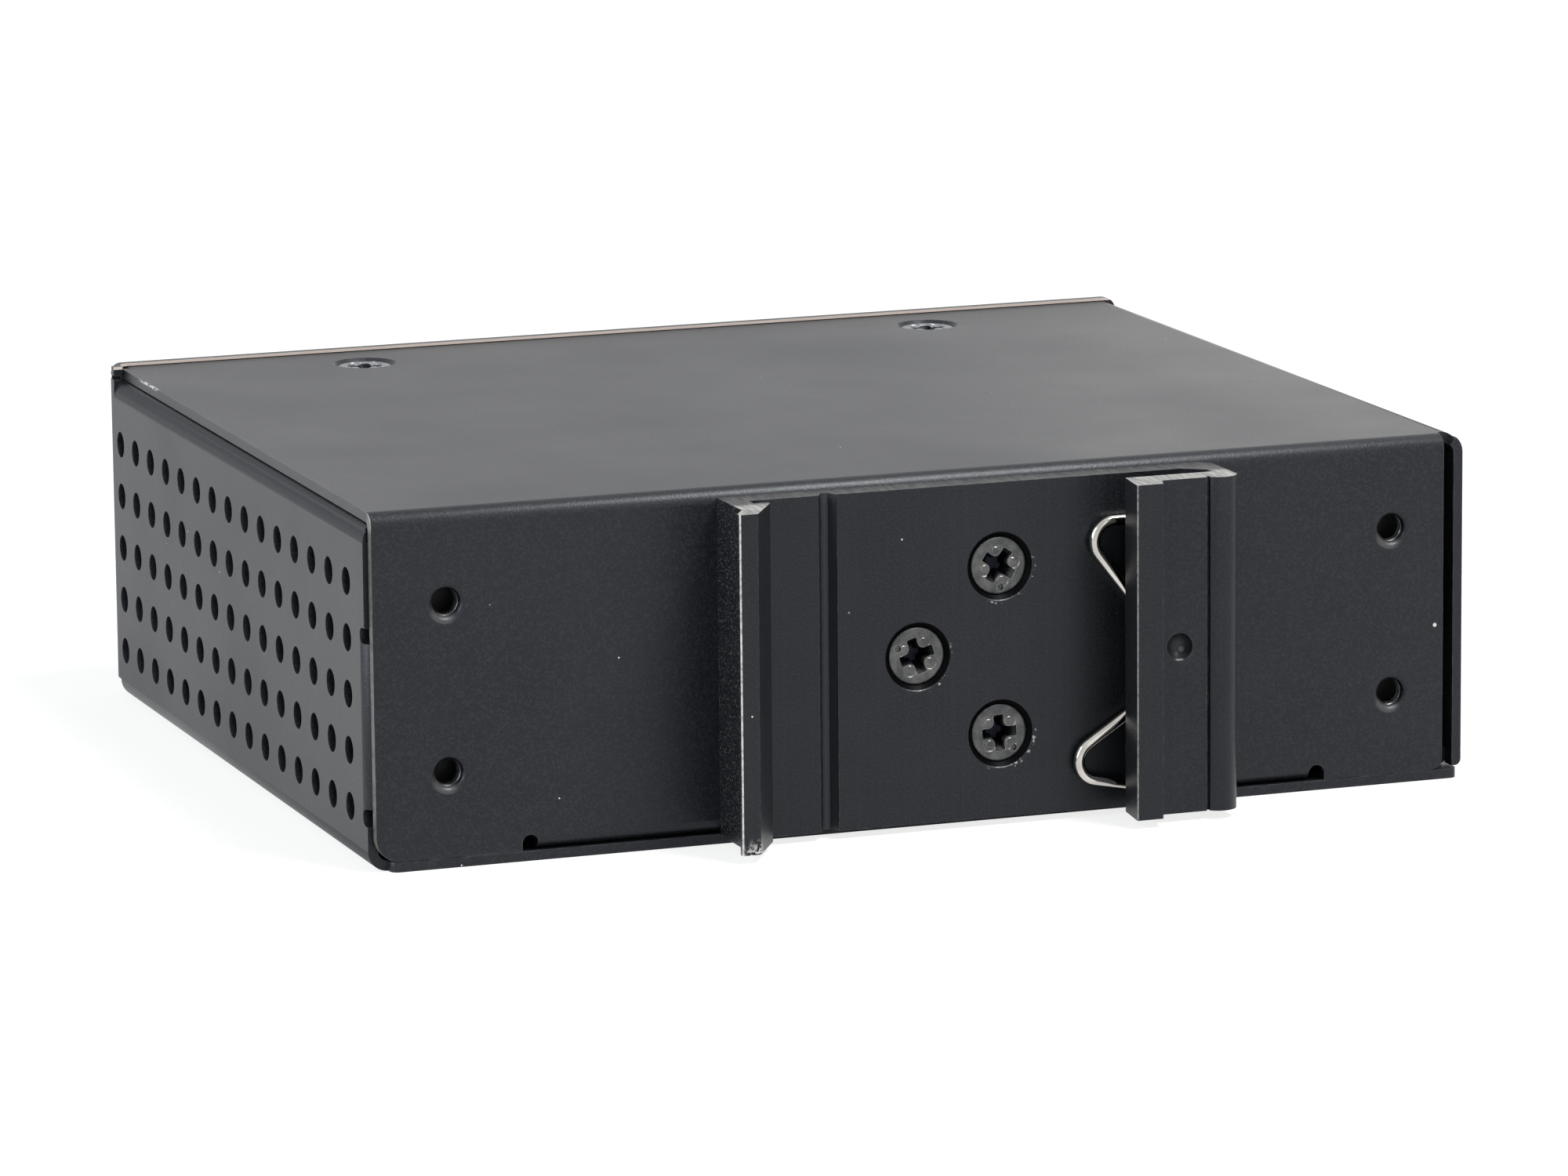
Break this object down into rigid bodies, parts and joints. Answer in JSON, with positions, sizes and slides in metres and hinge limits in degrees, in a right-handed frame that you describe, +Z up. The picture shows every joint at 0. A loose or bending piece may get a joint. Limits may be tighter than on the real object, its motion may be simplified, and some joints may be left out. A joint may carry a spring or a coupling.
{
  "type": "media converter",
  "caption": "Black folded-steel network media converter for a 35 mm rail, with vented sides, copper and fibre ports, a power inlet and a sprung rail clip on the back.",
  "frame": {"origin": "on the underside of the case, below the middle of the whole part's bounding box", "axes": "+X across the case, to the right when the rail clip is looked at; +Y from the rail clip to the ports; +Z up from the bottom sheet to the cover's top"},
  "size_m": [0.1046, 0.0968, 0.0323],
  "materials": {
    "powder_coat": "fine-textured matt black powder coat",
    "bare_steel": "zinc plated",
    "black_anodised": "black anodised extrusion, sawn ends",
    "black_screw": "black zinc, satin",
    "spring_wire": "bright drawn nickel-plated wire",
    "film": "thin black insulating sheet",
    "board": "solder mask over glass laminate",
    "tin_plate": "tin plated sheet",
    "black_plastic": "moulded satin",
    "green_plastic": "moulded satin",
    "gold_contact": "gold flashed",
    "lamp_lens": "diffused dome",
    "chip_epoxy": "moulded epoxy",
    "can_aluminium": "drawn can",
    "copper_wire": "enamelled copper",
    "ferrite": "sintered core",
    "blue_epoxy": "dipped",
    "fuse_body": "fired body"
  },
  "bodies": {
    "root": {"chassis": "powder_coat", "cover": "powder_coat", "front_bracket": "bare_steel", "cover_screws": "black_screw", "rail_clip": "black_anodised", "clip_spring": "spring_wire", "clip_screws": "black_screw", "standoffs": "bare_steel", "insulating_film": "film", "circuit_board": "board", "board_screws": "bare_steel", "copper_port_shield": "tin_plate", "copper_port_insert": "black_plastic", "copper_port_contacts": "gold_contact", "fibre_port": "black_plastic", "fibre_sleeves": "tin_plate", "fibre_pins": "tin_plate", "power_inlet": "green_plastic", "power_pins": "tin_plate", "lamp_holder": "black_plastic", "lamps": "lamp_lens", "earth_screw": "bare_steel", "earth_washer": "bare_steel", "earth_nut": "bare_steel", "main_chip": "chip_epoxy", "main_chip_legs": "tin_plate", "second_chip": "chip_epoxy", "second_chip_legs": "tin_plate", "line_transformer": "chip_epoxy", "line_transformer_legs": "tin_plate", "clock_crystal": "tin_plate", "capacitors": "can_aluminium", "coil_cores": "ferrite", "coil_windings": "copper_wire", "power_module": "chip_epoxy", "power_module_pins": "tin_plate", "surge_disc": "blue_epoxy", "surge_disc_leads": "tin_plate", "fuse": "fuse_body", "fuse_caps": "tin_plate", "small_parts": "fuse_body"}
  },
  "joints": []
}
